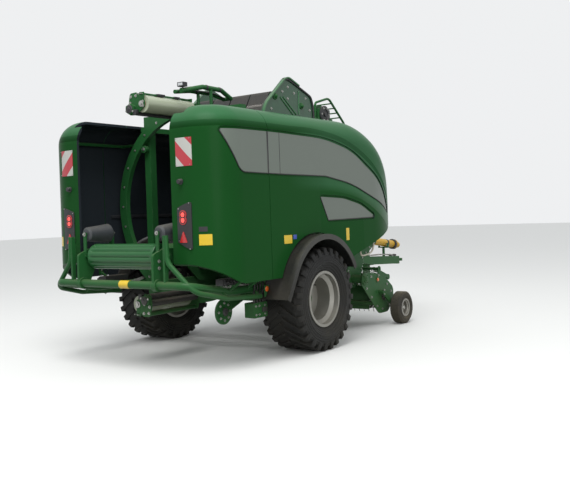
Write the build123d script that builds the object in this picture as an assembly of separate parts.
from build123d import *
import math
import os

os.makedirs("parts", exist_ok=True)

# Combined round baler and bale wrapper, towed. Millimetres, +X forward, +Y left, +Z up.
# Sizes are written from the wheel axle (X = 0) and the ground (Z = 0); save() moves every
# piece by AXLE_X, so that the part's own origin lies under the middle of its box.

# Wheels and axle
TYRE_D = 1200.0
TYRE_W = 550.0
RIM_D = 610.0
TRACK_HALF = 1165.0
LUG_H = 20.0
LUG_COUNT = 27
LUG_W = 34.0
LUG_TURN = 34.0
BEAD_SHARE = 0.80
FLANGE_H = 20.0
HUB_R = 110.0
HUB_IN = -110.0
DISC_Y = -40.0
AXLE_BEAM = 110.0
BEARING_GAP = 0.3
AXLE_Z = TYRE_D / 2

# Side form: the shell of rear panels and doors
PANEL_T = 30.0
SIDE_Y = 1320.0
REAR_FACE_X = -1780.0
FRONT_FACE_X = 2195.0
ROOF_Z = 2760.0
REAR_CORNER_R = 430.0
SHOULDER_R = 280.0
SEAM_X = -900.0
SEAM_GAP = 8.0
EXIT_HALF = 720.0
ROOF_INNER_Y = 850.0
PANEL_BOTTOM_Z = 905.0
DOOR_BOTTOM_Z = 1010.0
DOOR_FRONT_Z = 1420.0
RECESS_D = 14.0
RECESS_EDGE = 26.0
TRIM_T = 4.0

# Wheel arch and fender
ARCH_X = -20.0
ARCH_Z = 620.0
FENDER_R = 735.0
FENDER_T = 12.0
FENDER_LIP = 62.0
FENDER_OUT_Y = TRACK_HALF + 300.0
FENDER_IN_Y = TRACK_HALF - 260.0
ARCH_GAP = 20.0
FENDER_LEG = 355.0
LEG_IN_Y = TRACK_HALF - 65.0

# Wrapping ring and its film dispensers
RING_X = -710.0
RING_W = 60.0
RING_Z = 1760.0
RING_R_IN = 1060.0
RING_R_OUT = 1180.0
FILM_R = 95.0
FILM_CORE_R = 38.0
FILM_L = 750.0
FILM_PITCH_R = 1110.0
GUIDE_R = 45.0
FILM_END = 8.0
END_PLATE_T = 12.0
RING_TURN = 4.0
PRE_ROLLER_R = 30.0
PRE_ROLLERS = [(112, 1020), (165, 1085)]
KIT_BEAM = (140, 1205)
KIT_BEAM_R = 25.0

# Wrapping table
PIVOT_X = -1890.0
PIVOT_Z = 914.0
GUARD_TUBE_R = 42.0
REAR_ROLLER_X = -1730.0
REAR_ROLLER_Z = 1200.0
REAR_ROLLER_R = 140.0
REAR_ROLLER_HALF = 500.0
FRONT_ROLLER_X = -900.0
FRONT_ROLLER_R = 100.0
ROLLER_RIBS = 14
TABLE_ARM_Y = 575.0
CONE_SMALL_R = 78.0
CONE_LARGE_R = 108.0
CONE_Y = 560.0
CONE_Z = 1450.0
CONE_PIN_R = 15.0
PIVOT_SLEEVE_R = 62.0
TABLE_SHAFT_R = 25.0

# Bale chamber
CHAMBER_HALF = 650.0
WALL_T = 20.0
TOP_PLATE_OUT = 645.0
TOP_PLATE_T = 16.0
HINGE_X = 1000.0
HINGE_Z = 2620.0
HINGE_PIN_R = 30.0
BELT_T = 12.0
BELT_COUNT = 4
BELT_HALF = 600.0
CHAMBER_ROLLER_R = 105.0
TOP_ROLLERS = [(190, 3060), (760, 2990), (850, 2760), (450, 2180), (-60, 1600), (10, 2760)]
TOP_ROLLER_R = 55.0
BELT_GAP = 0.5
NET_UNIT_X = 1190.0
LADDER_R = 16.0

# Pick-up, feed rotor and gauge wheels
ROTOR_X = 1580.0
ROTOR_Z = 680.0
ROTOR_R = 230.0
ROTOR_STARS = 14
REEL_X = 2100.0
REEL_Z = 400.0
REEL_R = 250.0
REEL_BARS = 5
REEL_DRUM_R = 168.0
TINES_PER_BAR = 24
PICKUP_HALF = 1020.0
GAUGE_X = 2300.0
GAUGE_Y = PICKUP_HALF + 180.0
GAUGE_R = 225.0
GAUGE_W = 160.0
GUARD_PIVOT_X = 2000.0
GUARD_PIVOT_Z = 790.0
GUARD_TINES = 23
GUARD_PIN_R = 20.0
PICKUP_PIN_R = 60.0
ROTOR_SHAFT_R = 45.0
REEL_SHAFT_R = 30.0
TINE_SPAN = PICKUP_HALF - 120.0
GAUGE_RIM_R = 105.0

# Drawbar and jack
EYE_X = 4585.0
EYE_Z = 740.0
EYE_R_OUT = 65.0
EYE_BORE_R = 25.5
EYE_T = 44.0
JACK_X = 3780.0
JACK_Y = 190.0
JACK_TUBE = 90.0
JACK_LEG = 74.0
JACK_FOOT_R = 100.0

# Drive shaft
SHAFT_REAR_X = 2520.0
SHAFT_REAR_Z = 1250.0
SHAFT_FRONT_X = 4560.0
SHAFT_FRONT_Z = 995.0
SHAFT_R = 62.0
YOKE_BORE_R = 17.5
CRADLE_X = 4050.0
CASE_T = 48.0

# Low fittings behind the right wheel
DISC_X = -1080.0
DISC_Z = 555.0
DISC_R = 140.0
VALVE_X = -815.0

# Frame rails, portal and what hangs on them
RAIL_IN_Y = 690.0
RAIL_OUT_Y = 790.0
AXLE_HALF = RAIL_OUT_Y + 70.0
RAIL_LOW_Z = AXLE_Z + AXLE_BEAM / 2
RAIL_TOP_Z = RAIL_LOW_Z + 160.0
RAIL_REAR_X = -665.0
RAIL_U_Y = TRACK_HALF - 145.0
RAIL_U_Z = 800.0
NOSE_X = 2060.0
NOSE_LOW_Z = 1000.0
NOSE_TOP_Z = 1120.0
NOSE_REAR_X = 1400.0
STAY_Y = 1220.0
STAY_Z = 2540.0
STAY_REAR_X = -1400.0
DOOR_BEAM_Y = 800.0
DOOR_AXIS_Y = 832.0
DOOR_AXIS_Z = ROOF_Z + 15.0
DOOR_HINGES = (-520.0, 150.0, 800.0)
OVER_END_X = -1130.0
OVER_END_Z = 3025.0
OVER_TOP_Z = 3110.0

# Extremes along the machine, for its place over the origin
REAR_END = PIVOT_X - PIVOT_SLEEVE_R
FRONT_END = EYE_X + EYE_R_OUT
AXLE_X = -(REAR_END + FRONT_END) / 2


def save(name, *shapes):
    """Writes one node; its solids are moved over the part's origin."""
    solids = []
    for shape in shapes:
        solids.extend(Pos(AXLE_X, 0, 0) * solid for solid in shape.solids())
    whole = solids[0] if len(solids) == 1 else Compound(children=solids)
    export_step(whole, f"parts/{name}.step")


def mirrored(shape):
    """The same shape on the machine's right side."""
    return mirror(shape, about=Plane.XZ)


def block(x0, x1, y0, y1, z0, z1):
    size = Box(x1 - x0, y1 - y0, z1 - z0)
    return Pos((x0 + x1) / 2, (y0 + y1) / 2, (z0 + z1) / 2) * size


def rod(start, end, radius):
    """A round bar from start to end."""
    a, b = Vector(*start), Vector(*end)
    plane = Plane(origin=(a + b) * 0.5, z_dir=(b - a).normalized())
    return plane * Cylinder(radius, (b - a).length)


def rod_y(x, z, radius, y0, y1):
    return rod((x, y0, z), (x, y1, z), radius)


def rod_x(y, z, radius, x0, x1):
    return rod((x0, y, z), (x1, y, z), radius)


def beam(start, end, width, height):
    """A box bar from start to end; width lies along Y."""
    a, b = Vector(*start), Vector(*end)
    along = (b - a).normalized()
    across = Vector(0, 1, 0)
    plane = Plane(origin=(a + b) * 0.5, x_dir=across, z_dir=along)
    return plane * Box(width, height, (b - a).length)


def bent_tube(points, radii, radius):
    """A tube along straight runs joined by arcs."""
    path = FilletPolyline(*[Vector(*p) for p in points], radius=radii)
    start = path @ 0
    return sweep(Plane(origin=start, z_dir=path % 0) * Circle(radius), path=path)


def inset(table, depth):
    """The corners x, y, radius of a clockwise outline, moved in by depth."""
    moved = []
    count = len(table)
    for i, (x, y, radius) in enumerate(table):
        before = Vector(*table[i - 1][:2])
        here = Vector(x, y)
        after = Vector(*table[(i + 1) % count][:2])
        a = (here - before).normalized()
        b = (after - here).normalized()
        na = Vector(a.Y, -a.X)
        nb = Vector(b.Y, -b.X)
        corner = here + (na + nb) * (depth / (1 + na.dot(nb)))
        moved.append((corner.X, corner.Y, max(radius - depth, 0)))
    return moved


def outline(table):
    """A face from corners x, y, radius, each rounded by its arc."""
    count = len(table)
    spans = []
    for i, (x, y, radius) in enumerate(table):
        before = Vector(*table[i - 1][:2])
        here = Vector(x, y)
        after = Vector(*table[(i + 1) % count][:2])
        if radius <= 0:
            spans.append((here, None, here))
            continue
        a = (here - before).normalized()
        b = (after - here).normalized()
        reach = radius * (1 - a.dot(b)) / abs(a.X * b.Y - a.Y * b.X)
        middle = here + (b - a).normalized() * (math.hypot(reach, radius) - radius)
        spans.append((here - a * reach, middle, here + b * reach))
    edges = []
    for i, (start, middle, end) in enumerate(spans):
        if middle is not None:
            edges.append(ThreePointArc(start, middle, end))
        following = spans[(i + 1) % count][0]
        if (following - end).length > 0.01:
            edges.append(Line(end, following))
    face = Face(Wire(edges))
    return face if face.normal_at().Z > 0 else -face


def plate_xz(table, y0, y1):
    """A plate in the side view, between two depths y0 < y1."""
    face = Plane.XZ * outline(table)
    return Pos(0, y0, 0) * extrude(face, y1 - y0, dir=(0, 1, 0))


def plate_yz(table, x0, x1):
    """A plate in the end view, between x0 < x1; its table holds y, z, radius."""
    face = Plane.YZ * outline(table)
    return Pos(x0, 0, 0) * extrude(face, x1 - x0, dir=(1, 0, 0))


def turned_y(x, z, profile, y0):
    """A turned piece on an axis along Y: profile holds radius, distance from y0."""
    face = make_face(Polyline(*profile, close=True))
    solid = revolve(face, axis=Axis.Y)
    return Pos(x, y0, z) * solid


# Main wheels
def carcass(width, outer_r, rim_r, shoulder):
    """A tyre's section: radius, distance from its middle."""
    half = width / 2
    bead = half * BEAD_SHARE
    belly = outer_r - (outer_r - rim_r) * 0.55
    return [(rim_r, -bead), (rim_r + FLANGE_H + 2, -bead), (belly, -half), (outer_r - shoulder, -half * 0.94),
            (outer_r, -half * 0.72), (outer_r, half * 0.72), (outer_r - shoulder, half * 0.94),
            (belly, half), (rim_r + FLANGE_H + 2, bead), (rim_r, bead)]


def main_tyre():
    tread_r = TYRE_D / 2 - LUG_H
    body = turned_y(0, 0, carcass(TYRE_W, tread_r, RIM_D / 2, 40), 0)
    lugs = []
    for side in (-1, 1):
        for i in range(LUG_COUNT):
            turn = 360 / LUG_COUNT * (i + (0.5 if side > 0 else 0))
            lug = Box(LUG_H + 30, TYRE_W * 0.47, LUG_W)
            lug = Pos(tread_r + (LUG_H - 30) / 2, side * TYRE_W * 0.215, 0) * Rot(side * LUG_TURN, 0, 0) * lug
            lugs.append(Rot(0, turn - 90, 0) * lug)
    trim = Rot(90, 0, 0) * Cylinder(TYRE_D / 2, TYRE_W * 0.97)
    lugged = [lug & trim for lug in lugs]
    return body.fuse(*lugged)


def rim_barrel(rim_r, bead, well):
    """A rim's section: seats and flanges outside, the drop well between them."""
    r = rim_r - BEARING_GAP
    lip = bead + BEARING_GAP
    ledge, slope = lip * 0.78, lip * 0.62
    wall = r * 0.035
    flange = 0.055 * lip
    outer = [(r + FLANGE_H, lip + flange), (r + FLANGE_H, lip), (r, lip), (r - wall / 2, ledge), (r - well, slope),
             (r - well, -slope), (r - wall / 2, -ledge), (r, -lip), (r + FLANGE_H, -lip), (r + FLANGE_H, -lip - flange)]
    inner = [(r - wall, -lip - flange), (r - wall * 1.5, -ledge - wall / 2), (r - well - wall, -slope - wall / 2),
             (r - well - wall, slope + wall / 2), (r - wall * 1.5, ledge + wall / 2), (r - wall, lip + flange)]
    return outer + inner


def main_rim():
    bead = TYRE_W / 2 * BEAD_SHARE
    well = 45
    seat = RIM_D / 2 - well - 5
    disc = [(seat, DISC_Y + 8), (seat, DISC_Y - 8), (seat - 40, DISC_Y - 18), (HUB_R + 30, DISC_Y - 40),
            (60, DISC_Y - 40), (60, DISC_Y - 26), (HUB_R + 24, DISC_Y - 26), (seat - 44, DISC_Y - 4)]
    hub = [(0, HUB_IN), (HUB_R, HUB_IN), (HUB_R, DISC_Y - 38), (78, DISC_Y), (78, DISC_Y + 34), (0, DISC_Y + 34)]
    barrel = turned_y(0, 0, rim_barrel(RIM_D / 2, bead, well), 0)
    return barrel.fuse(turned_y(0, 0, disc, 0), turned_y(0, 0, hub, 0))


def build_wheels():
    tyre = main_tyre()
    rim = main_rim()
    save("tyre_left", Pos(0, TRACK_HALF, AXLE_Z) * tyre)
    save("rim_left", Pos(0, TRACK_HALF, AXLE_Z) * rim)
    save("tyre_right", mirrored(Pos(0, TRACK_HALF, AXLE_Z) * tyre))
    save("rim_right", mirrored(Pos(0, TRACK_HALF, AXLE_Z) * rim))
    stub = TRACK_HALF + HUB_IN - BEARING_GAP
    axle = block(-AXLE_BEAM / 2, AXLE_BEAM / 2, -AXLE_HALF, AXLE_HALF, AXLE_Z - AXLE_BEAM / 2, AXLE_Z + AXLE_BEAM / 2)
    for side in (-1, 1):
        inner = side * (AXLE_HALF - 10)
        axle = axle + rod_y(0, AXLE_Z, 48, *sorted((inner, side * stub)))
        axle = axle + rod_y(0, AXLE_Z, 80, *sorted((inner, side * (AXLE_HALF + 40))))
    save("axle_beam", axle)


# Side form
PLAN_TABLE = [(REAR_FACE_X, -600, 0), (REAR_FACE_X, SIDE_Y, REAR_CORNER_R), (1748, SIDE_Y, 1500),
              (FRONT_FACE_X + 20, 1086, 240), (FRONT_FACE_X + 20, -600, 0)]
SIDE_TABLE = [(REAR_FACE_X - 200, 300, 0), (REAR_FACE_X - 200, ROOF_Z, 0), (1470, ROOF_Z, 1545),
              (FRONT_FACE_X, 2035, 890), (FRONT_FACE_X, 300, 0)]


def plan_prism(depth):
    """The left side's outline seen from above, as an upright prism."""
    return extrude(outline(inset(PLAN_TABLE, depth)), ROOF_Z + 500, dir=(0, 0, 1))


def side_form(depth):
    """The closed form of the left side, depth inside its outer face, with its round shoulder."""
    plan = plan_prism(depth)
    profile = extrude(Plane.XZ * outline(inset(SIDE_TABLE, depth)), SIDE_Y + 500, both=True)
    form = plan & profile
    edges = []
    for edge in form.edges():
        ends = [edge @ 0.02, edge @ 0.98]
        upright = (ends[0] - ends[1]).cross(Vector(0, 0, 1)).length < 1
        across = min(e.Y for e in ends) < -100 < 100 < max(e.Y for e in ends)
        rear_top = abs((edge @ 0.5).X - REAR_FACE_X - depth) < 1
        if min(e.Z for e in ends) > 1500 and not upright and (rear_top or not across):
            if rear_top or (edge @ 0.5).Y > 600:
                edges.append(edge)
    return fillet(edges, SHOULDER_R - depth)


def arch_cut():
    """The wheel arch through the side wall, with the room behind the fender's leg."""
    r = FENDER_R + ARCH_GAP
    hole = Pos(ARCH_X, SIDE_Y - 200, ARCH_Z) * Rot(90, 0, 0) * Cylinder(r, 900)
    return hole + block(ARCH_X - r, ARCH_X + r, SIDE_Y - 650, SIDE_Y + 250, -50, ARCH_Z)


DECAL = [(-1605, 2486, 20), (-959, 2492, 0), (-668, 2492, 0), (249, 2478, 3000), (873, 2363, 1500),
         (1600, 1990, 1500), (1990, 1560, 20), (1640, 1700, 1500), (845, 1955, 2500), (242, 2036, 0),
         (-638, 2040, 0), (-1365, 2050, 130)]
SECOND_DECAL = [(110, 1790, 10), (640, 1768, 1200), (1050, 1690, 900), (1440, 1520, 20), (270, 1508, 10)]


def shell_parts():
    """Outer skin, recesses and trim of the left side, before it is split at the seam."""
    outer = side_form(0)
    inner = side_form(PANEL_T)
    shell = outer - inner
    keep_above = plate_xz([(REAR_FACE_X - 10, 1130, 0), (REAR_FACE_X - 10, ROOF_Z + 50, 0),
                           (FRONT_FACE_X + 10, ROOF_Z + 50, 0), (FRONT_FACE_X + 10, DOOR_FRONT_Z, 450),
                           (700, DOOR_BOTTOM_Z, 0), (600, PANEL_BOTTOM_Z, 0), (-1400, PANEL_BOTTOM_Z, 250)], -50, 1500)
    shell = shell & keep_above
    shell = shell - block(REAR_FACE_X + 80, 3000, -700, ROOF_INNER_Y, 0, 4000)
    shell = shell - block(-3000, 3000, -700, EXIT_HALF, 0, 4000)
    shell = shell - arch_cut()
    recess_floor = side_form(RECESS_D)
    trim_face = side_form(RECESS_D - TRIM_T)
    trims = []
    for table in (DECAL, SECOND_DECAL):
        prism = plate_xz(inset(table, -RECESS_EDGE), 600, 1500)
        shell = shell - ((outer & prism) - recess_floor)
        prism = plate_xz(table, 600, 1500)
        trims.append((trim_face & prism) - recess_floor)
    return shell, trims


def build_sides():
    shell, trims = shell_parts()
    rear_cut = block(-3000, SEAM_X, -700, 1500, 0, 4000)
    door_cut = block(SEAM_X + SEAM_GAP, 3000, -700, 1500, 0, 4000)
    rear = shell & rear_cut
    door = shell & door_cut
    trim_rear = trims[0] & rear_cut
    trim_door = (trims[0] & door_cut) + trims[1]
    save("rear_panel_left", rear)
    save("rear_panel_right", mirrored(rear))
    door = door + door_knuckles()
    save("door_left", door)
    save("door_right", mirrored(door))
    save("trim_rear", trim_rear, mirrored(trim_rear))
    save("trim_door_left", trim_door)
    save("trim_door_right", mirrored(trim_door))


def build_rear_fittings():
    """Lamp housings, lenses and striped boards on the rear faces."""
    skin = {depth: plan_prism(depth) for depth in (-16, -10, -4, 0)}
    housing = [(800, 1700, 20), (900, 1735, 10), (985, 1760, 20), (985, 1265, 20), (900, 1300, 10), (800, 1350, 20)]
    board = [(800, 2410, 4), (1005, 2410, 4), (1005, 2120, 4), (800, 2120, 4)]
    triangle = [(880, 1465, 6), (930, 1345, 6), (830, 1345, 6)]
    back = REAR_FACE_X - 60
    deep = REAR_FACE_X + 60
    base = (skin[-10] - skin[0]) & plate_yz(housing, back, deep)
    plate = (skin[-4] - skin[0]) & plate_yz(board, back, deep)
    shell = skin[-16] - skin[-10]
    round_lamp = shell & (rod_x(880, 1628, 46, back, deep) + rod_x(880, 1572, 46, back, deep))
    reflector = shell & plate_yz(triangle, back, deep)
    save("lamp_housings", base, mirrored(base))
    save("lamp_lenses", round_lamp, reflector, mirrored(round_lamp), mirrored(reflector))
    save("warning_boards", plate, mirrored(plate))


def build_fenders():
    """A strip over each tyre with a lip outside, and a straight leg behind."""
    outer = FENDER_R
    inner = FENDER_R - FENDER_T
    low_turn = math.radians(150)
    front_turn = math.radians(25)
    centre = Vector(ARCH_X, ARCH_Z)

    def at(radius, turn):
        return centre + Vector(math.cos(turn), math.sin(turn)) * radius

    def band(r_out, r_in):
        down = Vector(-math.sin(low_turn), math.cos(low_turn)) * FENDER_LEG
        rim = [ThreePointArc(at(r_out, front_turn), at(r_out, math.pi / 2), at(r_out, low_turn)),
               Line(at(r_out, low_turn), at(r_out, low_turn) + down),
               Line(at(r_out, low_turn) + down, at(r_in, low_turn) + down),
               Line(at(r_in, low_turn) + down, at(r_in, low_turn)),
               ThreePointArc(at(r_in, low_turn), at(r_in, math.pi / 2), at(r_in, front_turn)),
               Line(at(r_in, front_turn), at(r_out, front_turn))]
        face = Face(Wire(rim))
        return Plane.XZ * (face if face.normal_at().Z > 0 else -face)

    def strip(r_out, r_in, y0, y1):
        return Pos(0, y0, 0) * extrude(band(r_out, r_in), y1 - y0, dir=(0, 1, 0))

    top = strip(outer, inner, FENDER_IN_Y, FENDER_OUT_Y)
    lip = strip(outer, outer - FENDER_LIP, FENDER_OUT_Y - FENDER_T, FENDER_OUT_Y)
    fender = top + lip
    fender = fender - block(-2000, RAIL_REAR_X + 35, 0, LEG_IN_Y, 0, 1500)
    stay = block(-60, 20, FENDER_IN_Y - 130, FENDER_IN_Y + 30, ARCH_Z + inner - 30, ARCH_Z + inner)
    drop = block(-60, 20, FENDER_IN_Y - 130, FENDER_IN_Y - 105, RAIL_TOP_Z, ARCH_Z + inner)
    fender = fender + stay + drop
    save("fenders", fender, mirrored(fender))


def build_chassis():
    """Lower rails on the axle, kicked up over the pick-up, with the rear outriggers."""
    half = Part()
    half = half + block(RAIL_REAR_X, NOSE_REAR_X + 100, RAIL_IN_Y, RAIL_OUT_Y, RAIL_LOW_Z, RAIL_TOP_Z)
    half = half + block(NOSE_REAR_X, NOSE_REAR_X + 100, RAIL_IN_Y, RAIL_OUT_Y, RAIL_TOP_Z, NOSE_TOP_Z)
    half = half + block(NOSE_REAR_X, NOSE_X, RAIL_IN_Y, RAIL_OUT_Y, NOSE_LOW_Z, NOSE_TOP_Z)
    reach = RAIL_U_Y + GUARD_TUBE_R
    half = half + block(RAIL_REAR_X, RAIL_REAR_X + 28, RAIL_OUT_Y, reach, RAIL_LOW_Z + 60, RAIL_TOP_Z + 30)
    frame = half + mirrored(half)
    low = (RAIL_LOW_Z, RAIL_LOW_Z + 100)
    for x, span in ((-440, low), (520, low), (NOSE_X - 90, (NOSE_LOW_Z + 10, NOSE_TOP_Z))):
        frame = frame + block(x, x + 90, -RAIL_IN_Y, RAIL_IN_Y, *span)
    save("chassis_frame", frame)


def build_drawbar():
    """Two arms that meet in one beam, the towing eye and the shaft's cradle."""
    bar = Part()
    for side in (-1, 1):
        bar = bar + beam((NOSE_X + 50, side * 400, NOSE_TOP_Z + 20), (2620, side * 235, NOSE_TOP_Z + 5), 110, 110)
        bar = bar + beam((2580, side * 248, 1135), (3160, side * 62, 850), 110, 110)
    bar = bar + block(NOSE_X, NOSE_X + 60, -470, 470, 1060, 1215)
    bar = bar + beam((3060, 0, 872), (3500, 0, 790), 150, 130)
    bar = bar + beam((3440, 0, 795), (EYE_X - 165, 0, EYE_Z + 6), 150, 130)
    ring = Pos(EYE_X, 0, EYE_Z) * Cylinder(EYE_R_OUT, EYE_T)
    bore = Pos(EYE_X, 0, EYE_Z) * Cylinder(EYE_BORE_R, EYE_T * 4)
    bar = bar + block(EYE_X - 185, EYE_X - 20, -30, 30, EYE_Z - EYE_T / 2, EYE_Z + EYE_T / 2)
    bar = bar + block(EYE_X - 185, EYE_X - 115, -75, 75, EYE_Z - 62, EYE_Z + 68) + ring - bore
    hook_z = shaft_z(CRADLE_X + 20) - SHAFT_R - 1.0
    bar = bar + block(CRADLE_X - 20, CRADLE_X + 20, -90, 90, hook_z - 22, hook_z - 2)
    bar = bar + block(CRADLE_X - 20, CRADLE_X + 20, -14, 14, EYE_Z + 40, hook_z - 2)
    for side in (-1, 1):
        y0, y1 = sorted((side * 76, side * 90))
        bar = bar + block(CRADLE_X - 20, CRADLE_X + 20, y0, y1, hook_z - 22, hook_z + 60)
    bar = bar + block(JACK_X - 60, JACK_X + 60, 70, JACK_Y - JACK_TUBE / 2, 700, 830)
    save("drawbar", bar)
    tube = block(JACK_X - 45, JACK_X + 45, JACK_Y - 45, JACK_Y + 45, 520, 1150)
    hole = JACK_LEG / 2 + BEARING_GAP
    tube = tube - block(JACK_X - hole, JACK_X + hole, JACK_Y - hole, JACK_Y + hole, 500, 1138)
    save("jack_tube", tube + rod_y(JACK_X, 1110, 12, JACK_Y + 45, JACK_Y + 130))
    leg = block(JACK_X - 37, JACK_X + 37, JACK_Y - 37, JACK_Y + 37, 12, 700)
    foot = Pos(JACK_X, JACK_Y, 7) * Cylinder(JACK_FOOT_R, 14)
    save("jack_leg", leg + foot)


def shaft_z(x):
    """Height of the drive shaft's axis at x."""
    return SHAFT_REAR_Z + (x - SHAFT_REAR_X) * (SHAFT_FRONT_Z - SHAFT_REAR_Z) / (SHAFT_FRONT_X - SHAFT_REAR_X)


def build_drive():
    """Gearbox on the nose, and the guarded shaft laid in its cradle."""
    case = block(NOSE_X + 60.3, SHAFT_REAR_X - 110, -170, 170, 1120, 1400)
    case = fillet(case.edges().filter_by(Axis.X), 40)
    case = case + rod_x(0, shaft_z(SHAFT_REAR_X), 70, SHAFT_REAR_X - 150, SHAFT_REAR_X - 60)
    case = case + rod_y(NOSE_X + 180, 1250, 48, -CHAMBER_HALF + 60, CHAMBER_HALF - 60)
    save("gearbox", case)
    start = (SHAFT_REAR_X - 55, 0, shaft_z(SHAFT_REAR_X - 55))
    end = (SHAFT_FRONT_X, 0, SHAFT_FRONT_Z)
    shaft = rod(start, (SHAFT_FRONT_X - 90, 0, shaft_z(SHAFT_FRONT_X - 90)), 34)
    middle = (SHAFT_REAR_X + 900, 0, shaft_z(SHAFT_REAR_X + 900))
    shaft = shaft + rod((SHAFT_REAR_X + 40, 0, shaft_z(SHAFT_REAR_X + 40)), middle, SHAFT_R + 6)
    shaft = shaft + rod(middle, (SHAFT_FRONT_X - 150, 0, shaft_z(SHAFT_FRONT_X - 150)), SHAFT_R)
    for x in (SHAFT_REAR_X + 40, SHAFT_FRONT_X - 190):
        shaft = shaft + rod((x, 0, shaft_z(x)), (x + 60, 0, shaft_z(x + 60)), SHAFT_R + 22)
    yoke = rod((SHAFT_FRONT_X - 110, 0, shaft_z(SHAFT_FRONT_X - 110)), end, 48)
    inside = (SHAFT_FRONT_X - 80, 0, shaft_z(SHAFT_FRONT_X - 80))
    outside = (SHAFT_FRONT_X + 20, 0, shaft_z(SHAFT_FRONT_X + 20))
    yoke = yoke - rod(inside, outside, YOKE_BORE_R)
    save("pto_shaft", shaft + yoke)


def build_chamber():
    """Fixed walls, rollers between them, and the top that swings up at the front."""
    wall_table = [(-90, 1420, 60), (400, 2050, 200), (900, 2750, 60), (1560, 2750, 60), (1900, 2250, 250),
                  (1940, 1300, 120), (1815, 880, 120), (1795, 430, 120), (1330, 430, 120), (1300, 780, 60),
                  (120, 760, 120), (-90, 960, 60)]
    wall = plate_xz(wall_table, CHAMBER_HALF, CHAMBER_HALF + WALL_T)
    rib_rows = ((60, 900, 1260, 60), (1000, 1020, 2500, 60), (1500, 1100, 2400, 60))
    for x, z0, z1, width in rib_rows:
        wall = wall + block(x, x + width, CHAMBER_HALF + WALL_T, CHAMBER_HALF + 40, z0, z1)
    pin = rod_y(HINGE_X, HINGE_Z, HINGE_PIN_R, CHAMBER_HALF - 30, CHAMBER_HALF + 10)
    pickup_pin = rod_y(ROTOR_X, ROTOR_Z, PICKUP_PIN_R, CHAMBER_HALF + 10, PICKUP_HALF + 20)
    wall = wall + pin + pickup_pin - rod_y(ROTOR_X, ROTOR_Z, ROTOR_SHAFT_R + BEARING_GAP, 600, CHAMBER_HALF + 30)
    save("chamber_wall_left", wall)
    save("chamber_wall_right", mirrored(wall))
    rollers = []
    for x, z in ((180, 1010), (560, 930), (930, 930), (1660, 1180), (1750, 1440), (1770, 1710), (1700, 1980), (1560, 2230)):
        roller = rod_y(x, z, CHAMBER_ROLLER_R, -CHAMBER_HALF + 12, CHAMBER_HALF - 12)
        rollers.append(roller + rod_y(x, z, 30, -CHAMBER_HALF, CHAMBER_HALF))
    save("chamber_rollers", *rollers)
    plate_table = [(HINGE_X + 60, HINGE_Z - 60, 55), (500, 2000, 300), (-120, 1340, 60), (-200, 1480, 80),
                   (-150, 2400, 900), (-70, 2930, 300), (430, 3350, 160), (960, 3160, 60), (HINGE_X + 60, 2940, 120)]
    inner_y = TOP_PLATE_OUT - TOP_PLATE_T
    plate = plate_xz(plate_table, inner_y, TOP_PLATE_OUT)
    rim = plate_xz(plate_table, inner_y - 2, TOP_PLATE_OUT + 30) - plate_xz(inset(plate_table, 16), 500, 800)
    rim = rim & block(-400, 700, 500, 800, 2450, 3400)
    plate = plate + rim - rod_y(HINGE_X, HINGE_Z, HINGE_PIN_R + BEARING_GAP, 600, 700)
    both = plate + mirrored(plate)
    for x, z in TOP_ROLLERS:
        both = both + rod_y(x, z, TOP_ROLLER_R, -inner_y, inner_y)
    both = both + rod_y(-95, 2700, 32, -inner_y, inner_y) + rod_y(-160, 1520, 32, -inner_y, inner_y)
    save("chamber_top", both)
    belt_out = inset(belt_corners(), -TOP_ROLLER_R - BELT_GAP - BELT_T)
    belt_in = inset(belt_corners(), -TOP_ROLLER_R - BELT_GAP)
    out_table = [(x, z, TOP_ROLLER_R + BELT_GAP + BELT_T) for x, z, _ in belt_out]
    in_table = [(x, z, TOP_ROLLER_R + BELT_GAP) for x, z, _ in belt_in]
    belts = []
    pitch = 2 * BELT_HALF / BELT_COUNT
    for i in range(BELT_COUNT):
        y0 = -BELT_HALF + i * pitch + 8
        loop = plate_xz(out_table, y0, y0 + pitch - 16) - plate_xz(in_table, y0 - 5, y0 + pitch)
        belts.append(loop)
    save("chamber_belts", *belts)


def belt_corners():
    """The belts' run round the top rollers, clockwise in the side view."""
    return [(x, z, 0) for x, z in TOP_ROLLERS]


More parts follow.
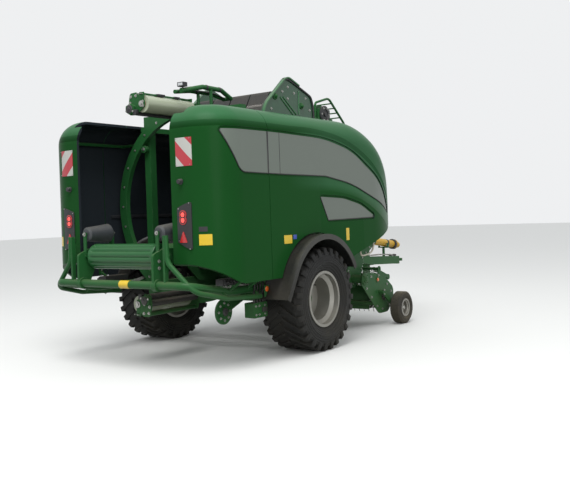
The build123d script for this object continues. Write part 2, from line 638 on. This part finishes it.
def build_ring():
    """The hoop that turns round the bale, its two dispensers and their film rolls."""
    hoop = rod_x(0, RING_Z, RING_R_OUT, RING_X - RING_W / 2, RING_X + RING_W / 2)
    hoop = hoop - rod_x(0, RING_Z, RING_R_IN, RING_X - 100, RING_X + 100)
    groove = rod_x(0, RING_Z, RING_R_OUT + 10, RING_X - 16, RING_X + 16) - rod_x(0, RING_Z, RING_R_OUT - 24, -3000, 0)
    save("wrapping_ring", hoop - groove)
    near = RING_X - RING_W / 2
    roll_front = near - END_PLATE_T - FILM_END
    far = roll_front - FILM_L - FILM_END
    axis_r = FILM_PITCH_R
    plate = [(-45, axis_r - 30, 35), (-45, axis_r + 35, 40), (85, 1238, 30), (185, 1226, 35), (205, 1080, 40),
             (185, 985, 30), (80, 985, 30)]
    kit = plate_yz(plate, near - END_PLATE_T, near) + plate_yz(plate, far - END_PLATE_T, far)
    kit = kit + rod_x(*KIT_BEAM, KIT_BEAM_R, far, near - END_PLATE_T)
    for y, z in PRE_ROLLERS:
        kit = kit + rod_x(y, z, PRE_ROLLER_R, far, near - END_PLATE_T)
    for x0, x1 in ((roll_front - 50, near - END_PLATE_T), (far, far + 60)):
        kit = kit + rod_x(0, axis_r, FILM_CORE_R - BEARING_GAP, x0, x1)
    hexagon = [(138 + 72 * math.cos(math.radians(60 * i + 30)), 1050 + 62 * math.sin(math.radians(60 * i + 30)), 8)
               for i in range(6)]
    kit = kit + plate_yz(hexagon, far - END_PLATE_T - 45, far - END_PLATE_T)
    roll = rod_x(0, axis_r, FILM_R, roll_front - FILM_L, roll_front)
    roll = roll - rod_x(0, axis_r, FILM_CORE_R, roll_front - FILM_L - 10, roll_front + 10)
    kits = []
    for name, turn in (("upper", RING_TURN), ("lower", RING_TURN + 180)):
        place = Pos(0, 0, RING_Z) * Rot(turn, 0, 0)
        kits.append(place * kit)
        save(f"film_roll_{name}", place * roll)
    save("dispensers", *kits)


def shoulder_y(z):
    """Half width inside the panels at height z."""
    start = ROOF_Z - SHOULDER_R
    if z <= start:
        return SIDE_Y - PANEL_T
    return SIDE_Y - SHOULDER_R + math.sqrt((SHOULDER_R - PANEL_T) ** 2 - (z - start) ** 2)


def build_ring_frame():
    """Portal before the hoop, with guide rollers, and the tubes that carry panels and doors."""
    x0, x1 = RAIL_REAR_X, RAIL_REAR_X + 95
    half = block(x0, x1, RAIL_IN_Y - 10, RAIL_OUT_Y - 10, RAIL_TOP_Z, 2870)
    track = RING_R_IN - GUIDE_R - BEARING_GAP
    post_y = (RAIL_IN_Y + RAIL_OUT_Y) / 2 - 10
    rise = math.sqrt(track ** 2 - post_y ** 2)
    for z in (RING_Z - rise, RING_Z + rise):
        half = half + rod_x(post_y, z, GUIDE_R, RING_X - 25, RING_X + 25)
        half = half + rod_x(post_y, z, 16, RING_X - 25, x0 + 5)
    half = half + rod((x0 + 47, RAIL_OUT_Y - 20, STAY_Z), (x0 + 47, STAY_Y, STAY_Z), 20)
    half = half + rod_x(STAY_Y, STAY_Z, 20, STAY_REAR_X, x0 + 67)
    for x in (STAY_REAR_X + 40, SEAM_X - 80):
        half = half + rod_y(x, STAY_Z, 12, STAY_Y, shoulder_y(STAY_Z + 12) - BEARING_GAP)
    half = half + block(x0 + 5, 1120, DOOR_BEAM_Y, DOOR_BEAM_Y + 40, 2690, 2750)
    half = half + block(x0 + 5, x1 - 5, RAIL_OUT_Y - 10, DOOR_BEAM_Y, 2690, 2750)
    half = half + block(1050, 1120, CHAMBER_HALF + WALL_T, DOOR_BEAM_Y, 2690, 2745)
    for x in DOOR_HINGES:
        for offset in (-52, 32):
            half = half + block(x + offset, x + offset + 20, DOOR_AXIS_Y - 14, DOOR_AXIS_Y + 10, 2749, DOOR_AXIS_Z + 14)
        half = half + rod_x(DOOR_AXIS_Y, DOOR_AXIS_Z, 8, x - 52, x + 52)
    frame = half + mirrored(half)
    frame = frame + block(x0, x1, -RAIL_OUT_Y + 10, RAIL_OUT_Y - 10, 2790, 2870)
    save("ring_frame", frame)


def door_knuckles():
    """Leaves and barrels on the left door's roof."""
    parts = Part()
    for x in DOOR_HINGES:
        barrel = rod_x(DOOR_AXIS_Y, DOOR_AXIS_Z, 15, x - 30, x + 30)
        leaf = block(x - 30, x + 30, DOOR_AXIS_Y, 930, DOOR_AXIS_Z - 15, DOOR_AXIS_Z - 5)
        parts = parts + (barrel + leaf - rod_x(DOOR_AXIS_Y, DOOR_AXIS_Z, 8 + BEARING_GAP, x - 60, x + 60))
    return parts


def build_overhead():
    """Two bent tubes over the ring, on short posts from the portal."""
    base_x = RAIL_REAR_X + 47
    right = [(OVER_END_X, -300, OVER_END_Z), (-760, -300, OVER_TOP_Z), (-420, -290, OVER_TOP_Z), (-190, -250, 3035)]
    left = [(-1020, -100, 3050), (-760, -100, 3085), (-420, -110, 3090), (-190, -150, 3035)]
    tubes = bent_tube(right, 120, 28) + bent_tube(left, 120, 24)
    for y, z in ((-300, 3100), (-100, 3080)):
        tubes = tubes + rod((base_x, y, 2870), (base_x, y, z), 20)
    tubes = tubes + rod((-200, -270, 3038), (-200, -130, 3038), 24)
    save("overhead_tubes", tubes)
    tilt = math.atan2(OVER_TOP_Z - OVER_END_Z, -760 - OVER_END_X)
    up = Vector(-math.sin(tilt), 0, math.cos(tilt))
    foot = Vector(OVER_END_X + 40, -300, OVER_END_Z + 40 * math.tan(tilt))
    lamp = rod(tuple(foot + up * (28 + BEARING_GAP)), tuple(foot + up * 55), 8)
    lamp = lamp + block(OVER_END_X - 10, OVER_END_X + 60, -345, -255, OVER_END_Z + 50, OVER_END_Z + 98)
    save("work_lamp", lamp)


def build_rear_guard():
    """Low frame tube round the rear, the guard tubes above it and their uprights."""
    low = [(RAIL_REAR_X - 1, RAIL_U_Y, RAIL_U_Z), (-1300, RAIL_U_Y, RAIL_U_Z), (PIVOT_X, RAIL_U_Y, PIVOT_Z),
           (PIVOT_X, -RAIL_U_Y, PIVOT_Z), (-1300, -RAIL_U_Y, RAIL_U_Z), (RAIL_REAR_X - 1, -RAIL_U_Y, RAIL_U_Z)]
    frame = bent_tube(low, [300, 140, 140, 300], GUARD_TUBE_R)
    wide = RAIL_U_Y + 105
    rail = [(-1900, 733, 1425), (-1900, 745, 1150), (-1850, wide - 75, 850), (-1440, wide, 752), (-850, wide - 13, 715)]
    guard = bent_tube(rail, [150, 150, 150], 27)
    side = guard + block(-1916, -1866, 700, 724, PIVOT_Z, 1425) + rod((-1900, 712, 1400), (-1900, 740, 1400), 14)
    side = side + rod((-875, wide - 13, 717), (-875, RAIL_U_Y, RAIL_U_Z), 16)
    side = side + rod((-1400, wide, 750), (-1400, RAIL_U_Y, RAIL_U_Z + 10), 16)
    for x in (-1000, -1310):
        side = side + rod((x, RAIL_U_Y, RAIL_U_Z), (x, SIDE_Y - PANEL_T - 12, 950), 16)
        side = side + block(x - 30, x + 30, SIDE_Y - PANEL_T - 14, SIDE_Y - PANEL_T - BEARING_GAP, 920, 990)
    save("rear_guard", frame + side + mirrored(side))


def ribbed_roller(x, z, radius, half, ribs):
    roller = rod_y(x, z, radius - 12, -half, half) + rod_y(x, z, TABLE_SHAFT_R, -half - 75, half + 75)
    for i in range(ribs):
        turn = 360 / ribs * i
        rib = Pos(radius - 14, 0, 0) * Box(28, 2 * half, 30)
        roller = roller + Pos(x, 0, z) * Rot(0, turn, 0) * rib
    return roller & rod_y(x, z, radius, -half - 90, half + 90)


def build_table():
    """Wrapping table on the rear tube, its two rollers and the side cones."""
    inner, outer = TABLE_ARM_Y - 15, TABLE_ARM_Y + 15
    arm_table = [(PIVOT_X - 56, PIVOT_Z - 60, 50), (PIVOT_X - 50, 1230, 40), (-1780, 1290, 40),
                 (FRONT_ROLLER_X + 70, 1250, 50), (FRONT_ROLLER_X + 70, 1150, 50), (-1680, 1130, 120),
                 (PIVOT_X + 70, PIVOT_Z - 60, 50)]
    arm = plate_xz(arm_table, inner, outer)
    arm = arm + rod_y(PIVOT_X, PIVOT_Z, PIVOT_SLEEVE_R, inner - 15, outer + 15)
    for x in (REAR_ROLLER_X, FRONT_ROLLER_X):
        arm = arm - rod_y(x, REAR_ROLLER_Z, TABLE_SHAFT_R + BEARING_GAP, 0, 700)
    arm = arm + block(-1480, -1440, CONE_Y - 25, CONE_Y + 25, 1200, CONE_Z + 25)
    arm = arm + rod_x(CONE_Y, CONE_Z, CONE_PIN_R, -1850, -1440)
    arm = arm + block(-1850, -1835, CONE_Y - 20, CONE_Y + 20, 1200, CONE_Z + 20)
    arm = arm - rod_y(PIVOT_X, PIVOT_Z, GUARD_TUBE_R + BEARING_GAP, 0, 700)
    table = arm + mirrored(arm) + rod_y(-1350, 1185, 35, -inner - 5, inner + 5)
    save("table_frame", table)
    rear = ribbed_roller(REAR_ROLLER_X, REAR_ROLLER_Z, REAR_ROLLER_R, REAR_ROLLER_HALF, ROLLER_RIBS)
    save("table_roller_rear", rear)
    front = rod_y(FRONT_ROLLER_X, REAR_ROLLER_Z, FRONT_ROLLER_R, -REAR_ROLLER_HALF, REAR_ROLLER_HALF)
    stub = REAR_ROLLER_HALF + 75
    front = front + rod_y(FRONT_ROLLER_X, REAR_ROLLER_Z, TABLE_SHAFT_R, -stub, stub)
    save("table_roller_front", front)
    bore = CONE_PIN_R + BEARING_GAP
    profile = make_face(Polyline((-1822, bore), (-1822, CONE_SMALL_R - 22), (-1806, CONE_SMALL_R), (-1520, CONE_LARGE_R),
                                 (-1492, CONE_LARGE_R - 24), (-1492, bore), close=True))
    cone = Pos(0, CONE_Y, CONE_Z) * revolve(profile, axis=Axis.X)
    save("side_cone_left", cone)
    save("side_cone_right", mirrored(cone))


def build_pickup():
    """Pick-up hung on the rotor's axis: side plates, stripper bands, tined reel and gauge wheels."""
    plate_table = [(1500, 760, 60), (1720, 760, 60), (2120, 690, 200), (2390, 500, 120), (2390, 330, 100),
                   (2200, 170, 100), (1950, 170, 120), (1500, 600, 60)]
    plate_y = (PICKUP_HALF - 20, PICKUP_HALF + 40)
    side = plate_xz(plate_table, PICKUP_HALF, PICKUP_HALF + 12)
    ear = block(GUARD_PIVOT_X - 38, GUARD_PIVOT_X + 38, PICKUP_HALF, PICKUP_HALF + 12, 660, GUARD_PIVOT_Z)
    side = side + ear + rod_y(GUARD_PIVOT_X, GUARD_PIVOT_Z, 38, PICKUP_HALF, PICKUP_HALF + 12)
    side = side - rod_y(GUARD_PIVOT_X, GUARD_PIVOT_Z, GUARD_PIN_R + BEARING_GAP, *plate_y)
    side = side - rod_y(ROTOR_X, ROTOR_Z, PICKUP_PIN_R + BEARING_GAP, *plate_y)
    side = side - rod_y(REEL_X, REEL_Z, REEL_SHAFT_R + BEARING_GAP, *plate_y)
    arm = beam((GAUGE_X - 330, 0, 470), (GAUGE_X, 0, GAUGE_R), 20, 60)
    arm = Pos(0, GAUGE_Y - GAUGE_W / 2 - 25, 0) * arm
    arm = arm + rod_y(GAUGE_X - 330, 470, 28, PICKUP_HALF + 6, GAUGE_Y - GAUGE_W / 2 - 15)
    arm = arm + rod_y(GAUGE_X, GAUGE_R, 22, GAUGE_Y - GAUGE_W / 2 - 35, GAUGE_Y + 20)
    side = side + arm
    frame = side + mirrored(side)
    back = REEL_X - REEL_R - 12
    for x, z in ((back - 24, 330), (1960, 700)):
        frame = frame + rod_y(x, z, 30, -PICKUP_HALF, PICKUP_HALF)
    pitch = 2 * TINE_SPAN / (TINES_PER_BAR - 1)
    band = rod_y(REEL_X, REEL_Z, REEL_DRUM_R + 6, 0, pitch - 24) - rod_y(REEL_X, REEL_Z, REEL_DRUM_R, -5, pitch)
    band = band - block(1800, REEL_X - 60, -10, 200, 0, 900) + block(back, REEL_X - 55, 0, pitch - 24, 556, 562)
    band = band + block(back, REEL_X - 55, 0, pitch - 24, 238, 244)
    frame = frame + block(back - 6, back, -TINE_SPAN - 40, TINE_SPAN + 40, 238, 562)
    bands = [Pos(0, -TINE_SPAN + i * pitch + 12, 0) * band for i in range(TINES_PER_BAR - 1)]
    frame = frame.fuse(*bands)
    save("pickup_frame", frame)
    reel = rod_y(REEL_X, REEL_Z, REEL_SHAFT_R, -PICKUP_HALF - 12, PICKUP_HALF + 12)
    pieces = []
    for y in (-TINE_SPAN - 25, -TINE_SPAN / 3, TINE_SPAN / 3, TINE_SPAN + 25):
        pieces.append(rod_y(REEL_X, REEL_Z, 130, y - 4, y + 4))
    for i in range(REEL_BARS):
        turn = 360 / REEL_BARS * i
        bar = Pos(118, 0, 0) * Box(24, 2 * TINE_SPAN + 50, 24)
        tine = Pos((118 + REEL_R) / 2, -TINE_SPAN, 0) * Box(REEL_R - 118, 8, 8)
        tines = [Pos(0, k * pitch, 0) * tine for k in range(TINES_PER_BAR)]
        pieces.append(Pos(REEL_X, 0, REEL_Z) * Rot(0, turn, 0) * bar.fuse(*tines))
    save("pickup_reel", reel.fuse(*pieces))
    tyre_table = carcass(GAUGE_W, GAUGE_R, GAUGE_RIM_R, 24)
    tyre = turned_y(0, 0, tyre_table, 0)
    rim = turned_y(0, 0, rim_barrel(GAUGE_RIM_R, GAUGE_W / 2 * BEAD_SHARE, 12), 0)
    rim = rim + turned_y(0, 0, [(22.3, -24), (48, -24), (48, -12), (GAUGE_RIM_R - 12, -8), (GAUGE_RIM_R - 12, 4),
                                (46, 4), (40, 26), (22.3, 26)], 0)
    place = Pos(GAUGE_X, GAUGE_Y, GAUGE_R)
    save("gauge_tyre_left", place * tyre)
    save("gauge_rim_left", place * rim)
    save("gauge_tyre_right", mirrored(place * tyre))
    save("gauge_rim_right", mirrored(place * rim))
    guard = rod_y(GUARD_PIVOT_X, GUARD_PIVOT_Z, GUARD_PIN_R, -PICKUP_HALF - 6, PICKUP_HALF + 6)
    side_y = PICKUP_HALF - 80
    guard = guard + rod_y(2420, 640, 40, -side_y - 5, side_y + 5)
    for y in (-side_y, side_y):
        guard = guard + Pos(0, y, 0) * beam((GUARD_PIVOT_X, 0, GUARD_PIVOT_Z), (2420, 0, 640), 16, 50)
    for i in range(GUARD_TINES):
        y = (TINE_SPAN - 20) * (2 * i / (GUARD_TINES - 1) - 1)
        guard = guard + rod((2030, y, 760), (2330, y, 690), 6)
        guard = guard + rod((2010, y, 785), (2040, y, 757), 6)
    save("wind_guard", guard)


def build_drive_cases():
    """Chain cases outside the rails, from the cross shaft down to the feed rotor."""
    table = [(1400, 560, 170), (1400, 830, 150), (1960, 1400, 150), (2330, 1400, 150), (2330, 1180, 110),
             (1885, 925, 60), (1855, 780, 60), (1700, 560, 150)]
    y0 = RAIL_OUT_Y + BEARING_GAP
    case = plate_xz(table, y0, y0 + CASE_T)
    cover = plate_xz(inset(table, 22), y0 + CASE_T, y0 + CASE_T + 12)
    case = case + cover - rod_y(ROTOR_X, ROTOR_Z, PICKUP_PIN_R + BEARING_GAP, y0 - 10, y0 + CASE_T + 40)
    case = case + rod_y(NOSE_X + 180, 1250, 60, y0 + CASE_T, y0 + CASE_T + 40)
    save("drive_cases", case, mirrored(case))


def build_low_fittings():
    """Tie disc on its arm and the valve box, low behind the right wheel."""
    y0 = RAIL_OUT_Y - 34
    disc = [(0, 0), (DISC_R - 10, 0), (DISC_R, 6), (DISC_R, 22), (DISC_R - 14, 28), (52, 22), (40, 40), (0, 40)]
    arm = plate_xz([(DISC_X - 45, DISC_Z, 40), (DISC_X, DISC_Z + 60, 40), (RAIL_REAR_X - 40, RAIL_LOW_Z + 75, 20),
                    (RAIL_REAR_X - BEARING_GAP, RAIL_LOW_Z + 75, 0), (RAIL_REAR_X - BEARING_GAP, RAIL_LOW_Z, 0),
                    (DISC_X + 20, DISC_Z - 50, 40)], y0 - 16, y0)
    tie = turned_y(DISC_X, DISC_Z, disc, y0) + arm
    save("tie_disc", mirrored(tie))
    box = block(VALVE_X - 120, VALVE_X + 120, RAIL_U_Y - 70, RAIL_U_Y + 60, 475, 640)
    box = fillet(box.edges().filter_by(Axis.Y), 14)
    hanger = block(VALVE_X - 40, VALVE_X + 40, RAIL_U_Y - 8, RAIL_U_Y + 8, 640, RAIL_U_Z)
    hanger = hanger - rod_x(RAIL_U_Y, RAIL_U_Z, GUARD_TUBE_R + BEARING_GAP, VALVE_X - 100, VALVE_X + 100)
    save("valve_box", mirrored(box + hanger))


def build_rotor():
    """Feed rotor: a tube with rows of two-fingered stars."""
    rotor = rod_y(ROTOR_X, ROTOR_Z, 105, -CHAMBER_HALF + 12, CHAMBER_HALF - 12)
    rotor = rotor + rod_y(ROTOR_X, ROTOR_Z, ROTOR_SHAFT_R, -CHAMBER_HALF - WALL_T, CHAMBER_HALF + WALL_T)
    pitch = 2 * (CHAMBER_HALF - 60) / (ROTOR_STARS - 1)
    stars = []
    for i in range(ROTOR_STARS):
        y = -(CHAMBER_HALF - 60) + i * pitch
        star = outline([(0, ROTOR_R, 8), (60, 90, 0), (0, -ROTOR_R, 8), (-60, -90, 0)])
        solid = Pos(ROTOR_X, y, ROTOR_Z) * Rot(0, i * 25, 0) * Rot(90, 0, 0) * extrude(star, 8)
        stars.append(solid)
    save("feed_rotor", rotor.fuse(*stars))


def build_top_fittings():
    """Binding unit on the chamber's front edge, and the ladder up to it."""
    unit = block(NET_UNIT_X, 1540, -CHAMBER_HALF + 20, CHAMBER_HALF - 20, 2751, 2880)
    unit = unit + rod_y(1335, 2930, 140, -560, 560) + rod_y(1335, 2930, 60, -CHAMBER_HALF + 20, CHAMBER_HALF - 20)
    for side in (-1, 1):
        y0, y1 = sorted((side * 600, side * 630))
        unit = unit + block(1200, 1480, y0, y1, 2751, 3000)
        y0, y1 = sorted((side * 610, side * 669))
        unit = unit + block(NET_UNIT_X, 1540, y0, y1, 2750, 2775)
    save("net_unit", unit)
    ladder = Part()
    foot_x = NET_UNIT_X - LADDER_R - BEARING_GAP
    for y in (-590, -250):
        top = [(foot_x, y, 2760), (foot_x, y, 3080), (1520, y, 3175), (1930, y, 2840), (2010, y, 2180)]
        ladder = ladder + bent_tube(top, [60, 120, 160], LADDER_R)
    for i in range(6):
        share = i / 5
        x = 1600 + share * 400 if share < 0.8 else 1935 + (share - 0.8) * 300
        z = 3110 - share * 290 if share < 0.8 else 2800 - (share - 0.8) * 2200
        ladder = ladder + rod((x, -590, z), (x, -250, z), 9)
    save("handrail", ladder)


for build in (build_wheels, build_sides, build_rear_fittings, build_fenders, build_chassis, build_drawbar,
              build_drive, build_chamber, build_ring, build_ring_frame, build_overhead, build_rear_guard,
              build_table, build_pickup, build_drive_cases, build_low_fittings, build_rotor, build_top_fittings):
    build()
